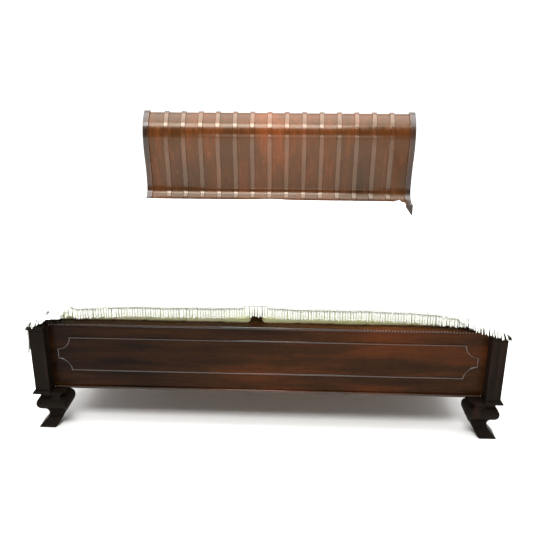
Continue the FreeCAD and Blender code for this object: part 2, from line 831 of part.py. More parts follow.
def make_stile(side):
    """A thick plank sawn to the curve, which runs down to the floor as the back leg."""
    name = "head_stile_" + side
    body = new_body(name + "_plank")
    sketch = new_sketch(body, "YZ_Plane")
    front = size("post_front")
    nose = front + size("nose_reach")
    nose_low = size("nose_top") - size("nose_height")
    leg_front = front + size("leg_front_reach")
    leg_back = front + size("waist_reach") + size("stile_depth")
    front_arcs = curve_arcs(0)
    lip_centre, lip_radius, lip_start, _ = front_arcs[-1]
    back_arcs = curve_arcs(size("stile_depth"))[1:4]
    start = Vector(nose, nose_low, 0)
    steps = [Vector(nose, size("nose_top"), 0), on_circle(*front_arcs[0][:3])]
    steps += upward_steps(front_arcs[:4])
    under_lip = on_circle(lip_centre, lip_radius, lip_start - 180)
    steps.append((on_circle(lip_centre, lip_radius, lip_start - 90), under_lip))
    steps += downward_steps(back_arcs)
    steps += [
        Vector(leg_back, 0, 0),
        Vector(leg_front, 0, 0),
        Vector(leg_front, nose_low - size("ledge_rise"), 0),
    ]
    draw(sketch, start, steps)
    pad(body, sketch, "stile_thickness")
    low = "stile_inner" if side == "right" else "-(stile_inner + stile_thickness)"
    body.setExpression(".Placement.Base.x", bound(low))
    tenon_x = sided(("stile_inner - 1", "stile_inner + tenon_length"), side)
    mortise = box(name + "_mortise", tenon_x, TENON_Y, TENON_Z)
    node(cut(name, body, mortise, *hook_mortise(name, side, "head")), name)


def make_stile_bead(side):
    """The fine bead along the inner edge of a stile's face."""
    name = "stile_bead_" + side
    nose = size("post_front") + size("nose_reach")
    body, _ = curved_strip(name, -size("stile_bead_relief"), 0, nose, "stile_bead_width")
    low = "stile_inner" if side == "right" else "-(stile_inner + stile_bead_width)"
    body.setExpression(".Placement.Base.x", bound(low))
    node(body, name)


TENON_FRONT = "post_front + lower_rail_reach + tenon_shoulder"
TENON_Y = (TENON_FRONT, TENON_FRONT + " + tenon_thickness")
TENON_Z = ("lower_rail_bottom + tenon_margin", "lower_rail_top - tenon_margin")
BETWEEN_STILES = ("-stile_inner", "stile_inner")


def make_lower_rail():
    """The cross rail between the back legs, tenoned into both."""
    name = "head_lower_rail"
    thickness = ("post_front + lower_rail_reach", "post_front + lower_rail_reach + lower_rail_thickness")
    board = box(name + "_board", BETWEEN_STILES, thickness, ("lower_rail_bottom", "lower_rail_top"))
    reach = "stile_inner + tenon_length"
    tenons = box(name + "_tenons", ("-(%s)" % reach, reach), TENON_Y, TENON_Z)
    node(fuse(name, board, tenons), name)


def make_batten(name, arc_number, first, last):
    """A batten across the back of the staves, hollowed to sit against their curve."""
    body = new_body(name)
    sketch = new_sketch(body, "YZ_Plane")
    depth = size("stave_recess") + size("stave_thickness")
    centre, near, _, _ = curve_arcs(depth)[arc_number]
    far = curve_arcs(depth + size("batten_thickness"))[arc_number][1]
    middle = (first + last) / 2
    steps = [
        (on_circle(centre, near, middle), on_circle(centre, near, last)),
        on_circle(centre, far, last),
        (on_circle(centre, far, middle), on_circle(centre, far, first)),
    ]
    draw(sketch, on_circle(centre, near, first), steps)
    pad(body, sketch, "2 * stile_inner", symmetric=True)
    node(body, name)


def make_ledge():
    """The moulding along the front of the ledge, and the bearer under the staves behind it."""
    name = "head_ledge_moulding"
    body = new_body(name)
    sketch = new_sketch(body, "YZ_Plane")
    front = size("post_front") + size("nose_reach")
    top = size("nose_top")
    bottom = top - size("nose_height")
    back = ledge_back()
    chamfer = size("ledge_chamfer")
    rounding = size("ledge_rounding")
    shoulder = rounding * (1 - math.sqrt(0.5))
    draw(sketch, Vector(front, bottom + chamfer, 0), [
        Vector(front, top - rounding, 0),
        (Vector(front + shoulder, top - shoulder, 0), Vector(front + rounding, top, 0)),
        Vector(back, top, 0),
        Vector(back, bottom, 0),
        Vector(front + chamfer, bottom, 0),
    ])
    pad(body, sketch, "2 * stile_inner", symmetric=True)
    node(body, name)
    under = "nose_top - stave_recess - stave_thickness"
    node(box("head_ledge_bearer", BETWEEN_STILES, (LEDGE_BACK, LEDGE_BACK + " + ledger_size"),
             (under + " - bearer_height", under)), "head_ledge_bearer")


# ---------------------------------------------------------------------------
# Bedding
# ---------------------------------------------------------------------------

MATTRESS_Y = ("post_front + mattress_setback", "post_front + mattress_setback + mattress_length")
MATTRESS_Z = ("deck_top + mattress_lift", "deck_top + mattress_lift + mattress_thickness")
BEDDING_LEFT = "mattress_offset - mattress_gap / 2 - mattress_width"
BEDDING_RIGHT = "mattress_offset + mattress_gap / 2 + mattress_width"


def make_mattress(side):
    """A plain mattress with rounded edges."""
    name = "mattress_" + side
    body = new_body(name)
    sketch = new_sketch(body, "XY_Plane")
    width = size("mattress_width")
    length = size("mattress_length")
    draw(sketch, Vector(0, 0, 0), [Vector(width, 0, 0), Vector(width, length, 0), Vector(0, length, 0)])
    slab = pad(body, sketch, "mattress_thickness")
    rounded(body, slab, lambda edge: True, "mattress_rounding")
    low = BEDDING_LEFT if side == "left" else "mattress_offset + mattress_gap / 2"
    body.setExpression(".Placement.Base.x", bound(low))
    body.setExpression(".Placement.Base.y", bound(MATTRESS_Y[0]))
    body.setExpression(".Placement.Base.z", bound(MATTRESS_Z[0]))
    node(body, name)


def make_coverlet():
    """The bedspread over both mattresses, with a short drop on three sides and a fringe below it."""
    skin = "coverlet_thickness"
    under = MATTRESS_Z[1] + " + coverlet_clearance"
    top = "%s + %s" % (under, skin)
    left = BEDDING_LEFT + " - coverlet_clearance"
    right = BEDDING_RIGHT + " + coverlet_clearance"
    front = MATTRESS_Y[0] + " - coverlet_clearance"
    back = MATTRESS_Y[1]
    across = ("%s - %s" % (left, skin), "%s + %s" % (right, skin))
    drops = {
        "left": ((across[0], left), (front, back), "coverlet_side_drop"),
        "right": ((right, across[1]), (front, back), "coverlet_side_drop"),
        "front": (across, ("%s - %s" % (front, skin), front), "coverlet_front_drop"),
    }
    cloth = [box("coverlet_top", across, ("%s - %s" % (front, skin), back), (under, top))]
    fringe = []
    for name, (x, y, drop) in drops.items():
        hem = "%s - %s" % (top, drop)
        cloth.append(box("coverlet_" + name, x, y, (hem, under)))
        fringe.append(box("fringe_" + name, x, y, (hem + " - fringe_length", hem)))
    node(fuse("coverlet", *cloth), "coverlet")
    node(group("coverlet_fringe", *fringe), "coverlet_fringe")


# ---------------------------------------------------------------------------
# Build, check and write
# ---------------------------------------------------------------------------

def build():
    for side in ("left", "right"):
        make_foot_post(side)
        make_inner_post(side)
        moulded_plate("post_cap_" + side, side, "footboard_top - cap_height", "footboard_top",
                      "cap_overhang", "top")
        moulded_plate("post_base_" + side, side, "footboard_bottom", "footboard_bottom + base_height",
                      "base_overhang", "bottom")
        make_front_foot(side)
    make_panel()
    make_panel_rails()
    rail_back = "post_front + panel_recess + panel_thickness"
    make_bead_strip("top_bead_strip", rail_back + " - rail_cap_depth + top_rail_set_back",
                    "footboard_top - rail_cap_height / 2")
    make_bead_strip("bottom_bead_strip", rail_back + " - bottom_rail_depth",
                    "footboard_bottom + bottom_rail_height / 2")
    make_frame_moulding()
    make_dowels()
    for side in ("left", "right"):
        make_side_rail(side)
        make_rail_moulding(side)
        make_ledger(side)
    make_hook_plates()
    make_end_cleats("deck_cleats_foot", FOOT_CLEAT_Y)
    make_end_cleats("deck_cleats_head", HEAD_CLEAT_Y)
    make_beam()
    node(group("beam_hangers", beam_hanger("foot"), beam_hanger("head")), "beam_hangers")
    make_centre_legs()
    make_deck()
    for side in ("left", "right"):
        make_stile(side)
        make_stile_bead(side)
    make_staves()
    make_ribs()
    make_lower_rail()
    make_batten("head_top_batten", 3, 172, 158)
    make_batten("head_waist_batten", 1, 1, 6)
    make_ledge()
    for side in ("left", "right"):
        make_mattress(side)
    make_coverlet()
    doc.recompute()


def check():
    """Stop before anything is written if a feature failed or a sub-part has no valid shape."""
    for feature in doc.Objects:
        if "Invalid" in feature.State or "Error" in feature.State:
            raise RuntimeError("%s did not compute" % feature.Name)
    for feature in nodes:
        if feature.Shape.isNull() or not feature.Shape.isValid():
            raise RuntimeError("%s has no valid shape" % feature.Label)


def write():
    os.makedirs("parts", exist_ok=True)
    for feature in nodes:
        feature.Shape.exportStep("parts/%s.step" % feature.Label)
    whole = Part.makeCompound([feature.Shape for feature in nodes]).BoundBox
    print("%d sub-parts" % len(nodes))
    print("x %.1f to %.1f" % (whole.XMin, whole.XMax))
    print("y %.1f to %.1f" % (whole.YMin, whole.YMax))
    print("z %.1f to %.1f" % (whole.ZMin, whole.ZMax))


build()
check()
write()
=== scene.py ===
"""Sleigh bed: the finished look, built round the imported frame. All lengths are metres."""

import math
import random

import bmesh
import bpy
from mathutils import Matrix, Vector, noise
from mathutils.bvhtree import BVHTree


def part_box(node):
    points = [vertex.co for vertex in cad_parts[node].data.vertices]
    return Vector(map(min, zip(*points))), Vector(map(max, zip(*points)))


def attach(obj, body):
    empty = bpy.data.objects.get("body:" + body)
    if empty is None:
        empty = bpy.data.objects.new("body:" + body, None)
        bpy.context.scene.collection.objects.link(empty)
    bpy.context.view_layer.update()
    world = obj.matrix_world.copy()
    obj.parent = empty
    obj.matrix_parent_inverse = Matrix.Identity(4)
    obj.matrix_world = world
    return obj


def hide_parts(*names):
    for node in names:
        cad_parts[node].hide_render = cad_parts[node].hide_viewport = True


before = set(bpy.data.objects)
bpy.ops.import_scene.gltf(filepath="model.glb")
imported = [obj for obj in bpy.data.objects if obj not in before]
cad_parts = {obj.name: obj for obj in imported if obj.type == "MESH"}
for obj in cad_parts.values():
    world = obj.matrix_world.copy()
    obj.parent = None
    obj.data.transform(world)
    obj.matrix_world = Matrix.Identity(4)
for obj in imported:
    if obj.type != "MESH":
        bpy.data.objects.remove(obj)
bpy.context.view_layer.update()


# ---------------------------------------------------------------------------
# Materials
# ---------------------------------------------------------------------------

class Shader:
    """A small wrapper that adds nodes to one material."""

    def __init__(self, name):
        self.material = bpy.data.materials.new(name)
        self.material.use_nodes = True
        self.tree = self.material.node_tree
        self.tree.nodes.clear()
        self.output = self.add("ShaderNodeOutputMaterial")
        self.surface = self.add("ShaderNodeBsdfPrincipled")
        self.link(self.surface, "BSDF", self.output, "Surface")

    def add(self, kind, **settings):
        made = self.tree.nodes.new(kind)
        for key, value in settings.items():
            setattr(made, key, value)
        return made

    def link(self, source, socket, target, entry):
        self.tree.links.new(source.outputs[socket], target.inputs[entry])

    def coordinates(self, scale=(1, 1, 1), location=(0, 0, 0)):
        """Places on the object, in metres, stretched by scale."""
        place = self.add("ShaderNodeTexCoord")
        mapping = self.add("ShaderNodeMapping")
        mapping.inputs["Scale"].default_value = scale
        mapping.inputs["Location"].default_value = location
        self.link(place, "Object", mapping, "Vector")
        return mapping

    def noise(self, vector, scale, detail=4, roughness=0.55, distortion=0.0):
        texture = self.add("ShaderNodeTexNoise")
        texture.inputs["Scale"].default_value = scale
        texture.inputs["Detail"].default_value = detail
        texture.inputs["Roughness"].default_value = roughness
        texture.inputs["Distortion"].default_value = distortion
        self.link(vector, "Vector", texture, "Vector")
        return texture

    def ramp(self, source, socket, stops):
        ramp = self.add("ShaderNodeValToRGB")
        elements = ramp.color_ramp.elements
        while len(elements) < len(stops):
            elements.new(0.5)
        for element, (position, colour) in zip(elements, stops):
            element.position = position
            element.color = (*colour, 1)
        self.link(source, socket, ramp, "Fac")
        return ramp

    def mix(self, first, second, factor=0.5, blend="MIX", factor_from=None):
        mixed = self.add("ShaderNodeMix", data_type="RGBA", blend_type=blend)
        mixed.inputs["Factor"].default_value = factor
        self.tree.links.new(first, mixed.inputs["A"])
        self.tree.links.new(second, mixed.inputs["B"])
        if factor_from is not None:
            self.tree.links.new(factor_from, mixed.inputs["Factor"])
        return mixed

    def range(self, source, socket, low, high, start=0.0, stop=1.0):
        mapped = self.add("ShaderNodeMapRange")
        mapped.inputs["From Min"].default_value = start
        mapped.inputs["From Max"].default_value = stop
        mapped.inputs["To Min"].default_value = low
        mapped.inputs["To Max"].default_value = high
        self.link(source, socket, mapped, "Value")
        return mapped

    def bump(self, source, socket, strength, distance, normal=None):
        bump = self.add("ShaderNodeBump")
        bump.inputs["Strength"].default_value = strength
        bump.inputs["Distance"].default_value = distance
        self.link(source, socket, bump, "Height")
        if normal is not None:
            self.link(normal, "Normal", bump, "Normal")
        return bump


def along(axis, stretch, across=1.0):
    """Texture scales for a grain that runs along one axis."""
    scales = [across, across, across]
    scales["xyz".index(axis)] = across / stretch
    return scales


def wood(name, axis, dark, middle, light, polish=0.6, roughness=0.3, figure=1.6, shine=0.35,
         varnish=(1.0, 1.0, 1.0), boards=None):
    """Timber with cloudy figure, streaked grain along one axis and fine open pores.

    Boards, if given, are an axis, a pitch, the first board's edge and how much their tones differ.
    """
    shader = Shader(name)
    broad = shader.noise(shader.coordinates(along(axis, 3.0)), figure, detail=3, distortion=0.6)
    streak = shader.noise(shader.coordinates(along(axis, 14.0)), 26, detail=6, roughness=0.6, distortion=0.5)
    pores = shader.noise(shader.coordinates(along(axis, 22.0)), 520, detail=2)
    depth = shader.mix(broad.outputs["Color"], streak.outputs["Color"], 0.35)
    value = shader.add("ShaderNodeSeparateColor")
    shader.link(depth, "Result", value, "Color")
    tone = shader.ramp(value, "Red", [(0.36, dark), (0.52, middle), (0.66, light)])
    colour = tone
    socket = "Color"
    if boards:
        axis_name, pitch, first_edge, spread = boards
        place = shader.add("ShaderNodeSeparateXYZ")
        shader.link(shader.coordinates(), "Vector", place, "Vector")
        position = shader.range(place, axis_name, 0.0, 1.0, first_edge, first_edge + pitch)
        position.clamp = False
        number = shader.add("ShaderNodeMath", operation="FLOOR")
        shader.link(position, "Result", number, 0)
        chance = shader.add("ShaderNodeTexWhiteNoise", noise_dimensions="1D")
        shader.link(number, "Value", chance, "W")
        shade = shader.range(chance, "Value", 1 - spread, 1 + spread)
        scaled = shader.add("ShaderNodeVectorMath", operation="SCALE")
        shader.link(tone, "Color", scaled, 0)
        shader.link(shade, "Result", scaled, "Scale")
        colour = scaled
        socket = "Vector"
    flecks = shader.ramp(pores, "Fac", [(0.36, (0.35, 0.3, 0.3)), (0.46, (1, 1, 1))])
    final = shader.mix(colour.outputs[socket], flecks.outputs["Color"], 0.7, "MULTIPLY")
    shader.link(final, "Result", shader.surface, "Base Color")
    gloss = shader.range(streak, "Fac", roughness - 0.05, roughness + 0.09, 0.3, 0.7)
    shader.link(gloss, "Result", shader.surface, "Roughness")
    ripple = shader.noise(shader.coordinates(), 9, detail=2)
    eased = shader.add("ShaderNodeBevel", samples=4)
    eased.inputs["Radius"].default_value = 0.002
    base = shader.bump(ripple, "Fac", 0.25, 0.002, eased)
    open_pores = shader.bump(pores, "Fac", 0.12, 0.0004, base)
    shader.link(open_pores, "Normal", shader.surface, "Normal")
    shader.surface.inputs["Coat Weight"].default_value = polish
    shader.surface.inputs["Coat Roughness"].default_value = 0.08
    shader.surface.inputs["Coat IOR"].default_value = 1.45
    shader.surface.inputs["Specular IOR Level"].default_value = shine
    shader.surface.inputs["Specular Tint"].default_value = (*varnish, 1)
    return shader.material


def steel():
    shader = Shader("rolled_steel")
    marks = shader.noise(shader.coordinates(along("z", 8.0)), 60, detail=5)
    tone = shader.ramp(marks, "Fac", [(0.3, (0.25, 0.24, 0.23)), (0.7, (0.5, 0.49, 0.47))])
    shader.link(tone, "Color", shader.surface, "Base Color")
    rough = shader.range(marks, "Fac", 0.32, 0.5)
    shader.link(rough, "Result", shader.surface, "Roughness")
    shader.surface.inputs["Metallic"].default_value = 1.0
    return shader.material


def satin():
    """Pale yellow-green mattress ticking with a woven sheen."""
    shader = Shader("mattress_satin")
    cloud = shader.noise(shader.coordinates(), 5, detail=3)
    tone = shader.ramp(cloud, "Fac", [(0.3, (0.90, 0.96, 0.48)), (0.7, (0.98, 0.99, 0.66))])
    warp = shader.add("ShaderNodeTexWave", wave_type="BANDS", bands_direction="DIAGONAL")
    warp.inputs["Scale"].default_value = 260
    warp.inputs["Distortion"].default_value = 0.6
    shader.link(shader.coordinates(), "Vector", warp, "Vector")
    # Painted shade: the base colour is darkened where the weave's relief dips.
    painted_thread_shade = shader.ramp(warp, "Fac", [(0.0, (0.9, 0.9, 0.88)), (1.0, (1, 1, 1))])
    mixed = shader.mix(tone.outputs["Color"], painted_thread_shade.outputs["Color"], 1.0, "MULTIPLY")
    shader.link(mixed, "Result", shader.surface, "Base Color")
    creases = shader.noise(shader.coordinates(along("z", 2.0)), 28, detail=4, distortion=0.5)
    soft = shader.bump(creases, "Fac", 0.3, 0.004)
    weave = shader.bump(warp, "Fac", 0.25, 0.0004, soft)
    shader.link(weave, "Normal", shader.surface, "Normal")
    shader.surface.inputs["Roughness"].default_value = 0.48
    shader.surface.inputs["Sheen Weight"].default_value = 0.8
    return shader.material


CLOTH_TONES = ((0.86, 0.87, 0.86), (0.95, 0.95, 0.94))
# The strands' grey is painted shade: the same white cotton, darkened.
STRAND_PAINTED_SHADE_TONES = ((0.62, 0.64, 0.58), (0.78, 0.79, 0.74))


def cotton(name, woven=True):
    """White cotton: the cloth has thread ribs both ways; the strands have none, and are painted greyer as
    painted shade.
    """
    shader = Shader(name)
    cloud = shader.noise(shader.coordinates(), 3.5, detail=4)
    shaded, lit = CLOTH_TONES if woven else STRAND_PAINTED_SHADE_TONES
    tone = shader.ramp(cloud, "Fac", [(0.25, shaded), (0.75, lit)])
    shader.surface.inputs["Roughness"].default_value = 0.85
    shader.surface.inputs["Sheen Weight"].default_value = 0.25
    fibre = shader.noise(shader.coordinates(), 900, detail=2)
    if not woven:
        shader.link(tone, "Color", shader.surface, "Base Color")
        fuzz = shader.bump(fibre, "Fac", 0.3, 0.0006)
        shader.link(fuzz, "Normal", shader.surface, "Normal")
        return shader.material
    waves = []
    for direction in ("X", "Y"):
        wave = shader.add("ShaderNodeTexWave", wave_type="BANDS", bands_direction=direction)
        wave.inputs["Scale"].default_value = 75
        wave.inputs["Distortion"].default_value = 0.8
        wave.inputs["Detail Scale"].default_value = 3
        shader.link(shader.coordinates(), "Vector", wave, "Vector")
        waves.append(wave)
    weave = shader.mix(waves[0].outputs["Color"], waves[1].outputs["Color"], 1.0, "MULTIPLY")
    # Painted shade: the base colour is darkened where the weave's relief dips.
    painted_weave_shade = shader.ramp(weave, "Result", [(0.0, (0.9, 0.9, 0.9)), (0.6, (1, 1, 1))])
    final = shader.mix(tone.outputs["Color"], painted_weave_shade.outputs["Color"], 1.0, "MULTIPLY")
    shader.link(final, "Result", shader.surface, "Base Color")
    fuzz = shader.bump(fibre, "Fac", 0.15, 0.0005)
    ribs = shader.bump(weave, "Result", 0.5, 0.0012, fuzz)
    shader.link(ribs, "Normal", shader.surface, "Normal")
    return shader.material


# The staves divide the width between the stiles' inner faces.
STAVE_COUNT = 15
STAVE_PITCH = 2 * 0.932 / STAVE_COUNT

# Wood tones run from the dark of the grain to its light.
DARK = (0.006, 0.0024, 0.0012)
BROWN = (0.027, 0.0100, 0.0029)
RED = (0.076, 0.020, 0.005)
WORN_POLISH = {"polish": 0.005, "shine": 0.045, "roughness": 0.25}
POST_TONES = ((0.0035, 0.0026, 0.0018), (0.0085, 0.0058, 0.0040), (0.030, 0.014, 0.008))
AMBER = (0.95, 0.80, 0.60)
STAVE_TONES = ((0.030, 0.011, 0.0022), (0.066, 0.019, 0.0035), (0.130, 0.030, 0.006))
STAVE_BOARDS = ("X", STAVE_PITCH, -STAVE_COUNT / 2 * STAVE_PITCH, 0.12)
DECK_TONES = ((0.20, 0.095, 0.035), (0.32, 0.165, 0.07), (0.42, 0.24, 0.12))
DECK_BOARDS = ("Y", 0.185, 0.0, 0.15)
PLANED = {"polish": 0.0, "roughness": 0.6}

WOODS = {
    "across": wood("mahogany_across", "x", DARK, BROWN, RED, **WORN_POLISH),
    "upright": wood("mahogany_upright", "z", *POST_TONES, polish=0.0, shine=0.03, roughness=0.4),
    "along": wood("mahogany_along", "y", DARK, BROWN, RED, **WORN_POLISH),
    "stiles": wood("mahogany_stiles", "z", DARK, BROWN, RED, polish=0.4, roughness=0.25),
    "staves": wood("mahogany_staves", "z", *STAVE_TONES, polish=0.16, shine=0.32, roughness=0.22,
                   varnish=AMBER, boards=STAVE_BOARDS),
    "carved": wood("mahogany_carved", "x", DARK, BROWN, RED, polish=0.55, shine=0.3, roughness=0.16),
    "ribs": wood("mahogany_ribs", "z", *STAVE_TONES, polish=0.35, shine=0.6, roughness=0.18, varnish=AMBER),
    "deck_across": wood("deck_timber_across", "x", *DECK_TONES, **PLANED, boards=DECK_BOARDS),
    "deck_along": wood("deck_timber_along", "y", *DECK_TONES, **PLANED),
    "deck_upright": wood("deck_timber_upright", "z", *DECK_TONES, **PLANED),
}
STEEL = steel()
SATIN = satin()
COTTON = cotton("coverlet_cotton")
STRANDS = cotton("fringe_cotton", woven=False)


def node_material(name):
    """The material of a CAD node that stays in view, by the way its grain runs."""
    if name in ("rail_hook_plates", "post_hook_plates", "beam_hangers"):
        return STEEL
    if name in ("deck_boards", "deck_cleats_foot", "deck_cleats_head", "head_ledge_bearer"):
        return WOODS["deck_across"]
    if name.startswith("rail_ledger") or name == "centre_beam":
        return WOODS["deck_along"]
    if name in ("centre_legs", "foot_dowels"):
        return WOODS["deck_upright"]
    if name == "headboard_staves":
        return WOODS["staves"]
    if name in ("headboard_ribs", "stile_bead_left", "stile_bead_right"):
        return WOODS["ribs"]
    if name.startswith("head_stile"):
        return WOODS["stiles"]
    if name.startswith(("foot_post", "front_foot", "post_cap", "post_base", "inner_post")):
        return WOODS["upright"]
    if name.startswith(("side_rail", "rail_moulding")):
        return WOODS["along"]
    return WOODS["across"]


# ---------------------------------------------------------------------------
# Mesh helpers
# ---------------------------------------------------------------------------

def piece(name, mesh, material, body="root"):
    """A finished object that rides on the bed."""
    made = bpy.data.objects.new(name, mesh)
    bpy.context.scene.collection.objects.link(made)
    mesh.materials.clear()
    mesh.materials.append(material)
    for polygon in mesh.polygons:
        polygon.use_smooth = True
    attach(made, body)
    return made


def mesh_from(name, points, faces):
    mesh = bpy.data.meshes.new(name)
    mesh.from_pydata([tuple(point) for point in points], [], faces)
    mesh.validate()
    mesh.update()
    return mesh


def apply_modifiers(made):
    """Bake the object's modifiers into its mesh."""
    graph = bpy.context.evaluated_depsgraph_get()
    graph.update()
    baked = bpy.data.meshes.new_from_object(made.evaluated_get(graph), depsgraph=graph)
    materials = list(made.data.materials)
    made.modifiers.clear()
    made.data = baked
    baked.materials.clear()
    for material in materials:
        baked.materials.append(material)


def play(cloth, frames):
    """Run a cloth modifier from its first frame to its last."""
    cloth.point_cache.frame_start = 1
    cloth.point_cache.frame_end = frames
    for number in range(1, frames + 1):
        bpy.context.scene.frame_set(number)


def tree_of(mesh):
    """A mesh's faces, ready for finding the nearest point or the first one that a ray meets."""
    return BVHTree.FromPolygons([vertex.co for vertex in mesh.vertices],
                                [polygon.vertices for polygon in mesh.polygons])


def add_box(mesh, low, high):
    """A box between two corners, added to a bmesh."""
    size = [high[axis] - low[axis] for axis in range(3)]
    centre = [(high[axis] + low[axis]) / 2 for axis in range(3)]
    place = Matrix.Translation(centre) @ Matrix.Diagonal((*size, 1))
    bmesh.ops.create_cube(mesh, size=1, matrix=place)


# ---------------------------------------------------------------------------
# Carried-over CAD nodes
# ---------------------------------------------------------------------------

def dress_frame():
    """Give every CAD node its material. The ones that soft or carved pieces replace are never shown."""
    for name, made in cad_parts.items():
        material = node_material(name)
        made.data.materials.clear()
        made.data.materials.append(material)


dress_frame()


# ---------------------------------------------------------------------------
# Footboard mouldings
# ---------------------------------------------------------------------------

BEAD_PITCH = 0.0134
BEAD_RADIUS = 0.0060 * 0.93
BEAD_BACKING_HALF = 0.0058
BEAD_BACKING_DEPTH = 0.0022
FRAME_BEAD_HALF = 0.004
FRAME_SCOOP = 0.058


def add_half_bead(mesh, centre, radius):
    """A half ball that faces the foot of the bed, added to a bmesh."""
    rings, segments = 4, 12
    tip = mesh.verts.new(centre + Vector((0, -radius, 0)))
    circles = []
    for ring in range(1, rings + 1):
        polar = math.pi / 2 * ring / rings
        circle = []
        for step in range(segments):
            turn = 2 * math.pi * step / segments
            spread = radius * math.sin(polar)
            offset = Vector((spread * math.cos(turn), -radius * math.cos(polar), spread * math.sin(turn)))
            circle.append(mesh.verts.new(centre + offset))
        circles.append(circle)
    for step in range(segments):
        following = (step + 1) % segments
        mesh.faces.new((tip, circles[0][step], circles[0][following]))
        for inner, outer in zip(circles, circles[1:]):
            mesh.faces.new((inner[step], outer[step], outer[following], inner[following]))
    mesh.faces.new(circles[-1][::-1])


def make_bead_row(node_name):
    """A row of small carved beads on a narrow backing strip."""
    low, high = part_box(node_name)
    middle = (low.z + high.z) / 2
    mesh = bmesh.new()
    add_box(mesh, (low.x, high.y - BEAD_BACKING_DEPTH, middle - BEAD_BACKING_HALF),
            (high.x, high.y, middle + BEAD_BACKING_HALF))
    count = int((high.x - low.x) / BEAD_PITCH)
    pitch = (high.x - low.x) / count
    for index in range(count):
        across = low.x + pitch * (index + 0.5)
        add_half_bead(mesh, Vector((across, high.y - 0.0004, middle)), BEAD_RADIUS)
    bmesh.ops.recalc_face_normals(mesh, faces=mesh.faces)
    data = bpy.data.meshes.new(node_name + "_carved")
    mesh.to_mesh(data)
    mesh.free()
    made = piece(node_name + "_carved", data, WOODS["carved"])
    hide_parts(node_name)


def scooped_path(low, high, scoop, arc_steps=14):
    """Points round a rectangle with hollow quarter-circle corners, anticlockwise from the lower right."""
    corners = [(high.x, low.z, 180, 90), (high.x, high.z, 270, 180),
               (low.x, high.z, 360, 270), (low.x, low.z, 90, 0)]
    points = []
    for across, up, first, last in corners:
        for step in range(arc_steps + 1):
            turn = math.radians(first + (last - first) * step / arc_steps)
            points.append((across + scoop * math.cos(turn), up + scoop * math.sin(turn)))
    return points


def make_frame_moulding():
    """The raised half-round bead that frames the footboard's face."""
    name = "footboard_frame_moulding"
    low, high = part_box(name)
    half = FRAME_BEAD_HALF
    face = high.y
    low_line = Vector((low.x + half, 0, low.z + half))
    high_line = Vector((high.x - half, 0, high.z - half))
    path = scooped_path(low_line, high_line, FRAME_SCOOP)
    count = len(path)
    turns = [math.pi * step / 8 for step in range(9)]
    section = [(math.cos(turn), math.sin(turn)) for turn in turns]
    points, faces = [], []
    for index, (across, up) in enumerate(path):
        before = Vector(path[index - 1])
        here = Vector((across, up))
        after = Vector(path[(index + 1) % count])
        into = (here - before).normalized()
        out = (after - here).normalized()
        side = (into + out).normalized().orthogonal()
        stretch = 1 / max(0.5, side.dot(into.orthogonal()))
        for flat, proud in section:
            shift = side * flat * half * stretch
            points.append((across + shift.x, face - proud * half, up + shift.y))
    width = len(section)
    for index in range(count):
        here = index * width
        there = ((index + 1) % count) * width
        for step in range(width - 1):
            faces.append((here + step, here + step + 1, there + step + 1, there + step))
        faces.append((here + width - 1, here, there, there + width - 1))
    made = piece("footboard_frame_bead", mesh_from("footboard_frame_bead", points, faces), WOODS["carved"])
    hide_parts(name)


make_bead_row("top_bead_strip")
make_bead_row("bottom_bead_strip")
make_frame_moulding()


# ---------------------------------------------------------------------------
# Mattresses
# ---------------------------------------------------------------------------

def rounded_block(name, low, high, radius, cell):
    """A closed block with rounded edges, divided into even cells."""
    size = high - low
    counts = [max(3, round(size[axis] / cell)) for axis in range(3)]
    data = bpy.data.meshes.new(name)
    points, index, faces = [], {}, []

    def vertex(i, j, k):
        key = (i, j, k)
        if key not in index:
            index[key] = len(points)
            share = (i / counts[0], j / counts[1], k / counts[2])
            place = Vector([low[axis] + size[axis] * share[axis] for axis in range(3)])
            core = Vector([min(max(place[axis], low[axis] + radius), high[axis] - radius)
                           for axis in range(3)])
            away = place - core
            if away.length > 1e-9:
                place = core + away.normalized() * min(away.length, radius)
            points.append(place)
        return index[key]

    def side(fixed, value, first, second):
        for a in range(counts[first]):
            for b in range(counts[second]):
                quad = []
                for da, db in ((0, 0), (1, 0), (1, 1), (0, 1)):
                    key = [0, 0, 0]
                    key[fixed] = value
                    key[first] = a + da
                    key[second] = b + db
                    quad.append(vertex(*key))
                faces.append(quad)

    for fixed, first, second in ((0, 1, 2), (1, 0, 2), (2, 0, 1)):
        side(fixed, 0, first, second)
        side(fixed, counts[fixed], first, second)
    data.from_pydata([tuple(point) for point in points], [], faces)
    mesh = bmesh.new()
    mesh.from_mesh(data)
    bmesh.ops.recalc_face_normals(mesh, faces=mesh.faces)
    mesh.to_mesh(data)
    mesh.free()
    return data


MATTRESS_CELL = 0.024
MATTRESS_CORNER = 0.022
SWELL_MOST = 0.009
SWELL_FRAMES = 14
SWELL_PRESSURE = 2.0
WELT_HEIGHT = 0.034
TUFT_PITCH = 0.17
WELT_RADIUS = 0.0042


def inflate(made, floor):
    """Swell the mesh by a short pressure simulation, keeping each point near its start and off the deck."""
    start = [vertex.co.copy() for vertex in made.data.vertices]
    cloth = made.modifiers.new("swell", "CLOTH")
    settings = cloth.settings
    settings.use_pressure = True
    settings.uniform_pressure_force = SWELL_PRESSURE
    settings.quality = 5
    settings.mass = 0.3
    settings.tension_stiffness = 12
    settings.compression_stiffness = 12
    settings.bending_stiffness = 2
    settings.effector_weights.gravity = 0
    cloth.collision_settings.use_collision = False
    play(cloth, SWELL_FRAMES)
    apply_modifiers(made)
    bpy.context.scene.frame_set(1)
    for vertex, home in zip(made.data.vertices, start):
        shift = vertex.co - home
        if shift.length > SWELL_MOST:
            shift *= SWELL_MOST / shift.length
        vertex.co = home + shift
        vertex.co.z = max(vertex.co.z, floor)


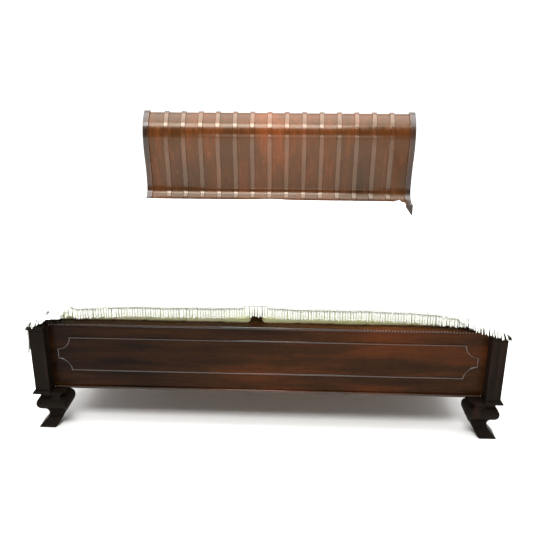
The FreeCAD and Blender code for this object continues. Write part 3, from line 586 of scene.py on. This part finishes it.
def even_rectangle(low, high, corner, spacing):
    """Evenly spaced points round a rectangle with rounded corners, anticlockwise from the front right."""
    spans = []
    corners = [(high.x - corner, low.y + corner, -90), (high.x - corner, high.y - corner, 0),
               (low.x + corner, high.y - corner, 90), (low.x + corner, low.y + corner, 180)]
    for across, up, first in corners:
        for step in range(7):
            turn = math.radians(first + 90 * step / 6)
            spans.append(Vector((across + corner * math.cos(turn), up + corner * math.sin(turn), 0)))
    points = []
    for here, there in zip(spans, spans[1:] + spans[:1]):
        pieces = max(1, round((there - here).length / spacing))
        points += [here.lerp(there, step / pieces) for step in range(pieces)]
    return points


def tube(points, radius, sides=8, closed=False):
    """Points and faces of a tube along a line; its ends are closed unless the line is."""
    vertices, faces = [], []
    count = len(points)
    for index, here in enumerate(points):
        before = points[index - 1] if closed or index else here
        after = points[(index + 1) % count] if closed or index < count - 1 else here
        heading = (after - before).normalized()
        side = heading.cross(Vector((0, 0, 1)))
        if side.length < 0.2:
            side = heading.cross(Vector((0, 1, 0)))
        side.normalize()
        up = side.cross(heading)
        width = radius(index / max(1, count - 1)) if callable(radius) else radius
        for step in range(sides):
            turn = 2 * math.pi * step / sides
            vertices.append(here + side * (width * math.cos(turn)) + up * (width * math.sin(turn)))
    for index in range(count if closed else count - 1):
        here = index * sides
        there = ((index + 1) % count) * sides
        for step in range(sides):
            following = (step + 1) % sides
            faces.append((here + step, here + following, there + following, there + step))
    if not closed:
        faces.append(tuple(range(sides)))
        last = (count - 1) * sides
        faces.append(tuple(last + step for step in reversed(range(sides))))
    return vertices, faces


def mattress_shape(low, high):
    """The gentle pull of the border between the welts, and small uneven dents."""
    middle = (low.z + high.z) / 2

    def shape(point):
        dent = noise.noise(point * 7) * 0.0035 + noise.noise(point * 21) * 0.0012
        welt = min(abs(point.z - low.z - WELT_HEIGHT), abs(point.z - high.z + WELT_HEIGHT))
        pinch = 0.0055 * math.exp(-(welt / 0.010) ** 2)
        waist = 0.002 if abs(point.z - middle) < 0.02 else 0.0
        number = round((point.x + point.y) / TUFT_PITCH)
        run = point.x + point.y + 0.05 * noise.noise(Vector((number, 2.5, 0)))
        off = abs(run / TUFT_PITCH - round(run / TUFT_PITCH)) * TUFT_PITCH
        tuft = 0.006 * math.exp(-(off / 0.010) ** 2) if point.z < low.z + WELT_HEIGHT else 0.0
        return dent - pinch - waist - tuft
    return shape


def make_mattress(side):
    """A soft block with a welt above and below its border."""
    name = "mattress_" + side
    low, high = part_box(name)
    inner_low = low + Vector((0.005, 0.005, 0.001))
    inner_high = high - Vector((0.005, 0.005, 0.004))
    data = rounded_block(name + "_soft", inner_low, inner_high, MATTRESS_CORNER, MATTRESS_CELL)
    made = piece(name + "_soft", data, SATIN)
    inflate(made, low.z + 0.0006)
    made.modifiers.new("smooth", "SUBSURF").levels = 1
    apply_modifiers(made)
    made.data.update()
    shape = mattress_shape(low, high)
    normals = [vertex.normal.copy() for vertex in made.data.vertices]
    for vertex, normal in zip(made.data.vertices, normals):
        place = vertex.co + normal * shape(vertex.co) * (1 - 0.6 * abs(normal.z))
        place.x = min(max(place.x, low.x - 0.004), high.x + 0.004)
        place.y = min(max(place.y, low.y - 0.004), high.y + 0.004)
        place.z = min(max(place.z, low.z + 0.0004), high.z + 0.002)
        vertex.co = place
    for polygon in made.data.polygons:
        polygon.use_smooth = True
    made.data.update()
    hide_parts(name)
    tree = tree_of(made.data)
    points, faces = [], []
    for height in (low.z + WELT_HEIGHT, high.z - WELT_HEIGHT):
        line = []
        for place in even_rectangle(low, high, 0.032, 0.012):
            found, normal, _, _ = tree.find_nearest(Vector((place.x, place.y, height)))
            wobble = noise.noise(found * 3 + Vector((0, 0, height * 40))) * 0.003
            proud = Vector((normal.x, normal.y, 0)) * 0.0012
            line.append(Vector((found.x, found.y, height + wobble)) + proud)
        ring, ring_faces = tube(line, WELT_RADIUS, closed=True)
        faces += [[index + len(points) for index in face] for face in ring_faces]
        points += ring
    welts = piece(name + "_welts", mesh_from(name + "_welts", points, faces), SATIN)
    return made


mattresses = [make_mattress("left"), make_mattress("right")]


# ---------------------------------------------------------------------------
# Coverlet
# ---------------------------------------------------------------------------

COVERLET_CELL = 0.022
COVERLET_BODY = 0.0026
FRONT_DROP = 0.034
HEAD_REACH = 0.034
# How far the foot edge is drawn out at its corners, to lie over the post caps.
CORNER_BOW = 0.072
# The side drops at the foot and at the head.
LEFT_DROPS = (0.158, 0.065)
RIGHT_DROPS = (0.205, 0.075)
# The slopes under the side drops: their inner edge, then their outer edge at the foot and at the head.
FLARES = {"left": (-0.968, -1.056, -0.990), "right": (0.878, 1.030, 0.935)}
FLARE_HEIGHTS = (0.606, 0.478)
FLARE_ENDS = (-1.000, 0.870)
FLARE_DEPTH = 0.13
# The fold over the front edge is steep along the middle and gentler near the sides.
STEEP_FOLD = 84
GENTLE_FOLD = 40
FOLD_EASE = 0.12
DRAPE_FRAMES = 30
# Strands can lie on any of these nodes. The sheet falls on plain blocks in place of the second list's.
SUPPORTS = ["deck_boards", "footboard_top_rail", "head_ledge_moulding", "headboard_staves", "side_rail_left",
            "side_rail_right", "post_cap_left", "post_cap_right", "foot_post_left", "foot_post_right",
            "head_stile_left", "head_stile_right"]
BLOCKS = ["deck_boards", "footboard_top_rail", "head_ledge_moulding", "side_rail_left", "side_rail_right",
          "post_cap_left", "post_cap_right"]


def bedding_box():
    """The low and high corners of the two mattresses together."""
    low, left_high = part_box("mattress_left")
    right_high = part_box("mattress_right")[1]
    return low, Vector((right_high.x, right_high.y, left_high.z))


def add_hull(mesh, points):
    """The convex solid round some points, added to a bmesh."""
    corners = [mesh.verts.new(point) for point in points]
    made = bmesh.ops.convex_hull(mesh, input=corners)
    unused = [item for item in made["geom_unused"] if isinstance(item, bmesh.types.BMVert)]
    bmesh.ops.delete(mesh, geom=unused, context="VERTS")


def add_flares(mesh):
    """Slopes that stand in for the bulk of the bedding, which holds the drops away from the rails."""
    near, far = FLARE_ENDS
    top, bottom = FLARE_HEIGHTS
    for side, (inner, outer, outer_far) in FLARES.items():
        add_hull(mesh, [(x, y, z) for y, reach in ((near, outer), (far, outer_far))
                        for x, z in ((inner, top), (reach, bottom), (inner, bottom))])
        low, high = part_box("post_cap_" + side)
        rim = high.z + 0.002
        plan = [(x, y, rim) for x in (low.x + 0.003, high.x - 0.003) for y in (low.y + 0.003, high.y)]
        deep = inner - math.copysign(FLARE_DEPTH, inner)
        add_hull(mesh, plan + [(inner, near, top), (outer, near, bottom),
                               (deep, near, top), (deep, near, bottom)])


def add_bridge(mesh):
    """A block that keeps the fringe out of the gap between the mattresses, as taut cloth does."""
    left_low, left_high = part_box("mattress_left")
    right_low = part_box("mattress_right")[0]
    add_box(mesh, Vector((left_high.x - 0.03, left_low.y + 0.004, left_low.z + 0.03)),
            Vector((right_low.x + 0.03, left_high.y, left_high.z - 0.002)))


def bare_support():
    """One hidden mesh of everything that a strand can lie against."""
    mesh = bmesh.new()
    for name in SUPPORTS:
        mesh.from_mesh(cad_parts[name].data)
    for made in mattresses:
        mesh.from_mesh(made.data)
    add_bridge(mesh)
    add_flares(mesh)
    return hidden("bare_support", mesh)


def plain_support():
    """A light hidden mesh of blocks for the coverlet to fall on."""
    mesh = bmesh.new()
    for name in BLOCKS:
        low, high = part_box(name)
        add_box(mesh, low, high)
    low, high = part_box("head_ledge_moulding")
    staves_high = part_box("headboard_staves")[1]
    add_box(mesh, Vector((low.x, high.y, high.z - 0.05)),
            Vector((high.x, staves_high.y - 0.1, high.z - 0.012)))
    for side in ("left", "right"):
        low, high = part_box("mattress_" + side)
        grown = Vector((0.002, 0.002, 0.002))
        mesh.from_mesh(rounded_block("block_" + side, low - grown, high + grown, 0.03, 0.075))
    add_bridge(mesh)
    add_flares(mesh)
    return hidden("plain_support", mesh)


def hidden(name, mesh):
    """An object for a bmesh, made only to be measured or fallen on."""
    data = bpy.data.meshes.new(name)
    mesh.to_mesh(data)
    mesh.free()
    made = bpy.data.objects.new(name, data)
    bpy.context.scene.collection.objects.link(made)
    return made


def laid_sheet(support):
    """The coverlet as it is first laid: level over the mattresses, its drops leaning on their slopes."""
    low, high = bedding_box()
    tree = tree_of(support.data)
    widest = (low.x - LEFT_DROPS[0], high.x + RIGHT_DROPS[0])
    narrowest = (low.x - LEFT_DROPS[1], high.x + RIGHT_DROPS[1])
    width = (widest[1] - widest[0] + narrowest[1] - narrowest[0]) / 2
    front = low.y - FRONT_DROP
    back = high.y + HEAD_REACH
    across = round(width / COVERLET_CELL)
    along_bed = round((back - front) / COVERLET_CELL)
    top, bottom = FLARE_HEIGHTS
    points, placed = [], []
    for row in range(along_bed + 1):
        up = row / along_bed
        left = widest[0] + (narrowest[0] - widest[0]) * up
        right = widest[1] + (narrowest[1] - widest[1]) * up
        for column in range(across + 1):
            x = left + (right - left) * column / across
            y = front + (back - front) * up
            y -= CORNER_BOW * abs(2 * column / across - 1) ** 6 * (1 - up) ** 12
            ripple = noise.noise(Vector((x * 2.3, y * 1.6, 4.2))) * 0.006
            ripple += noise.noise(Vector((x * 7, y * 6, 1))) * 0.004
            inner, outer, outer_far = FLARES["left" if x < 0 else "right"]
            slope = math.atan2(top - bottom, abs(outer + (outer_far - outer) * up - inner))
            beside = max(low.x - x, x - high.x, 0)
            before = max(low.y - y, 0)
            corner = min(max(1 - min(x - low.x, high.x - x) / FOLD_EASE, 0), 1)
            steep = math.radians(STEEP_FOLD - (STEEP_FOLD - GENTLE_FOLD) * corner)
            height = high.z + 0.009 + ripple - beside * math.sin(slope) - before * math.sin(steep)
            if beside:
                x = min(max(x, low.x), high.x) + math.copysign(beside * math.cos(slope), x)
            if before:
                y = low.y - 0.006 - before * math.cos(steep)
            under = tree.ray_cast(Vector((x, y, 2.0)), Vector((0, 0, -1)))[0]
            if under:
                height = max(height, under.z + 0.0065)
            if beside and before:
                placed.append(len(points))
            points.append((x, y, height))
    faces = []
    for row in range(along_bed):
        for column in range(across):
            start = row * (across + 1) + column
            faces.append((start, start + 1, start + across + 2, start + across + 1))
    return points, faces, across, along_bed, (width, back - front), placed


def drape(made, support, placed):
    """Let the sheet fall on its supports, its foot corners staying where they were placed on the posts."""
    made.vertex_groups.new(name="placed").add(placed, 1.0, "REPLACE")
    collision = support.modifiers.new("touch", "COLLISION")
    support.collision.thickness_outer = 0.003
    support.collision.thickness_inner = 0.02
    support.collision.cloth_friction = 40
    cloth = made.modifiers.new("drape", "CLOTH")
    settings = cloth.settings
    settings.quality = 7
    settings.mass = 0.25
    settings.air_damping = 2.0
    settings.tension_stiffness = 25
    settings.compression_stiffness = 25
    settings.shear_stiffness = 8
    settings.bending_stiffness = 0.35
    settings.vertex_group_mass = "placed"
    cloth.collision_settings.use_collision = True
    cloth.collision_settings.distance_min = 0.003
    cloth.collision_settings.collision_quality = 3
    cloth.collision_settings.use_self_collision = False
    play(cloth, DRAPE_FRAMES)
    apply_modifiers(made)
    bpy.context.scene.frame_set(1)
    support.modifiers.remove(collision)


def edge_line(points, across, along_bed):
    """The sheet's edge points in order, each with the point two rows inside it."""
    width = across + 1

    def at(column, row):
        return Vector(points[row * width + column])

    line = [(at(c, 0), at(c, 2)) for c in range(across)]
    line += [(at(across, r), at(across - 2, r)) for r in range(along_bed)]
    line += [(at(c, along_bed), at(c, along_bed - 2)) for c in range(across, 0, -1)]
    line += [(at(0, r), at(2, r)) for r in range(along_bed, 0, -1)]
    return line


FRINGE_LENGTH = 0.056
STRAND_PITCH = 0.0039
STRAND_STEPS = 7
STRAND_STIFFNESS = 0.62
STRAND_CLEARANCE = 0.0026


def strand_path(start, heading, length, tree):
    """A strand that leaves the hem, bends down under its weight and lies on what it meets."""
    step_length = length / STRAND_STEPS
    points = [start.copy()]
    here = start.copy()
    for _ in range(STRAND_STEPS):
        heading = (heading * STRAND_STIFFNESS + Vector((0, 0, -1)) * (1 - STRAND_STIFFNESS)).normalized()
        there = here + heading * step_length
        found, normal, _, _ = tree.find_nearest(there)
        gap = (there - found).dot(normal)
        if gap < STRAND_CLEARANCE and (there - found).length < 0.02:
            there = found + normal * STRAND_CLEARANCE
        moved = there - here
        if moved.length > 1e-5:
            heading = moved.normalized()
            there = here + heading * step_length
        here = there
        points.append(here.copy())
    return points


def make_fringe(line, tree):
    """Cotton strands knotted along the whole hem."""
    chance = random.Random(8)
    points, faces = [], []
    total = 0.0
    due = 0.0
    group_turn = 0
    lean = Vector((0, 0, 0))
    for (here, inside), (there, inside_next) in zip(line, line[1:] + line[:1]):
        span = (there - here).length
        while due <= total + span:
            share = (due - total) / span
            start = here.lerp(there, share)
            heading = (start - inside.lerp(inside_next, share)).normalized()
            run = (there - here).normalized()
            if group_turn % 3 == 0:
                lean = run * chance.uniform(-0.13, 0.13)
            gather = run * (1 - group_turn % 3) * 0.10
            length = FRINGE_LENGTH * chance.uniform(0.86, 1.06)
            path = strand_path(start - heading * 0.003, (heading + lean + gather).normalized(), length, tree)
            thick = chance.uniform(0.0023, 0.0031)
            strand, strand_faces = tube(
                path, lambda part: thick * (1.25 if part < 0.2 else 1.0 - 0.45 * part), 5)
            faces += [[index + len(points) for index in face] for face in strand_faces]
            points += strand
            group_turn += 1
            due += STRAND_PITCH * chance.uniform(0.85, 1.15)
        total += span
    return piece("coverlet_fringe_strands", mesh_from("coverlet_fringe_strands", points, faces), STRANDS)


def make_coverlet():
    """The fringed sheet over both mattresses, draped and then given its thickness."""
    support = plain_support()
    points, faces, across, along_bed, flat, placed = laid_sheet(support)
    bare = bare_support()
    made = piece("coverlet_cloth", mesh_from("coverlet_cloth", points, faces), COTTON)
    drape(made, support, placed)
    settled = [vertex.co.copy() for vertex in made.data.vertices]
    fringe = make_fringe(edge_line(settled, across, along_bed), tree_of(bare.data))
    made.modifiers.new("smooth", "SUBSURF").levels = 1
    body = made.modifiers.new("body", "SOLIDIFY")
    body.thickness = COVERLET_BODY
    body.offset = 1.0
    apply_modifiers(made)
    for polygon in made.data.polygons:
        polygon.use_smooth = True
    for helper in (support, bare):
        bpy.data.objects.remove(helper)
    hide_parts("coverlet")
    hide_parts("coverlet_fringe")


make_coverlet()


# ---------------------------------------------------------------------------
# Stage, lights and camera
# ---------------------------------------------------------------------------

def plain_material(name, colour, roughness):
    shader = Shader(name)
    shade = shader.noise(shader.coordinates(), 0.6, detail=2)
    low = [channel * 0.98 for channel in colour]
    tone = shader.ramp(shade, "Fac", [(0.3, low), (0.7, colour)])
    shader.link(tone, "Color", shader.surface, "Base Color")
    shader.surface.inputs["Roughness"].default_value = roughness
    shader.surface.inputs["Specular IOR Level"].default_value = 0.1
    return shader.material


def make_floor():
    mesh = mesh_from("floor", [(-30, -30, 0), (30, -30, 0), (30, 30, 0), (-30, 30, 0)], [(0, 1, 2, 3)])
    floor = bpy.data.objects.new("floor", mesh)
    bpy.context.scene.collection.objects.link(floor)
    mesh.materials.append(plain_material("pale_floor", (0.84, 0.84, 0.83), 0.9))


def make_light(name, place, target, width, depth, power):
    light = bpy.data.lights.new(name, "AREA")
    light.shape = "RECTANGLE"
    light.size = width
    light.size_y = depth
    light.energy = power
    made = bpy.data.objects.new(name, light)
    made.location = place
    made.rotation_euler = (Vector(target) - Vector(place)).to_track_quat("-Z", "Y").to_euler()
    bpy.context.scene.collection.objects.link(made)
    return made


def make_lights():
    world = bpy.data.worlds.new("studio")
    bpy.context.scene.world = world
    world.use_nodes = True
    tree = world.node_tree
    background = tree.nodes["Background"]
    background.inputs["Strength"].default_value = 1.02
    heading = tree.nodes.new("ShaderNodeTexCoord")
    split = tree.nodes.new("ShaderNodeSeparateXYZ")
    fade = tree.nodes.new("ShaderNodeValToRGB")
    fade.color_ramp.elements[0].position = 0.30
    fade.color_ramp.elements[0].color = (0.16, 0.155, 0.14, 1)
    fade.color_ramp.elements[1].position = 0.66
    fade.color_ramp.elements[1].color = (1.0, 1.0, 1.0, 1)
    share = tree.nodes.new("ShaderNodeMapRange")
    share.inputs["From Min"].default_value = -1.0
    tree.links.new(heading.outputs["Generated"], split.inputs["Vector"])
    tree.links.new(split.outputs["Y"], share.inputs["Value"])
    tree.links.new(share.outputs["Result"], fade.inputs["Fac"])
    tree.links.new(fade.outputs["Color"], background.inputs["Color"])
    make_light("overhead", (0.0, 0.1, 3.4), (0.0, 0.1, 0.0), 4.5, 2.8, 190)
    make_light("front_fill", (-0.8, -4.5, 6.5), (0.0, -0.8, 0.4), 4.0, 2.0, 420)
    make_light("low_fill", (0.1, -5.4, 1.4), (0.0, -1.0, 0.5), 3.0, 0.8, 40)
    sky = bpy.data.lights.new("soft_sky", "SUN")
    sky.energy = 2.3
    sky.angle = math.radians(70)
    made = bpy.data.objects.new("soft_sky", sky)
    made.rotation_euler = (math.radians(-5), 0, 0)
    bpy.context.scene.collection.objects.link(made)


# The lens, as its focal length over the picture's width.
FOCAL_SHARE = 650.0 / 533.0
SENSOR = 36.0
CAMERA_PLACE = (0.111, -3.681, 1.726)
CAMERA_TURN = 0.041
CAMERA_DIP = 0.341
CAMERA_ROLL = 0.003


def make_camera():
    data = bpy.data.cameras.new("camera")
    data.sensor_width = SENSOR
    data.lens = FOCAL_SHARE * SENSOR
    camera = bpy.data.objects.new("camera", data)
    bpy.context.scene.collection.objects.link(camera)
    turn = Matrix.Rotation(CAMERA_TURN, 4, "Z")
    dip = Matrix.Rotation(math.pi / 2 - CAMERA_DIP, 4, "X")
    roll = Matrix.Rotation(CAMERA_ROLL, 4, "Z")
    camera.matrix_world = Matrix.Translation(CAMERA_PLACE) @ turn @ dip @ roll
    bpy.context.scene.camera = camera


make_floor()
make_lights()
make_camera()
bpy.context.scene.view_settings.view_transform = "Standard"
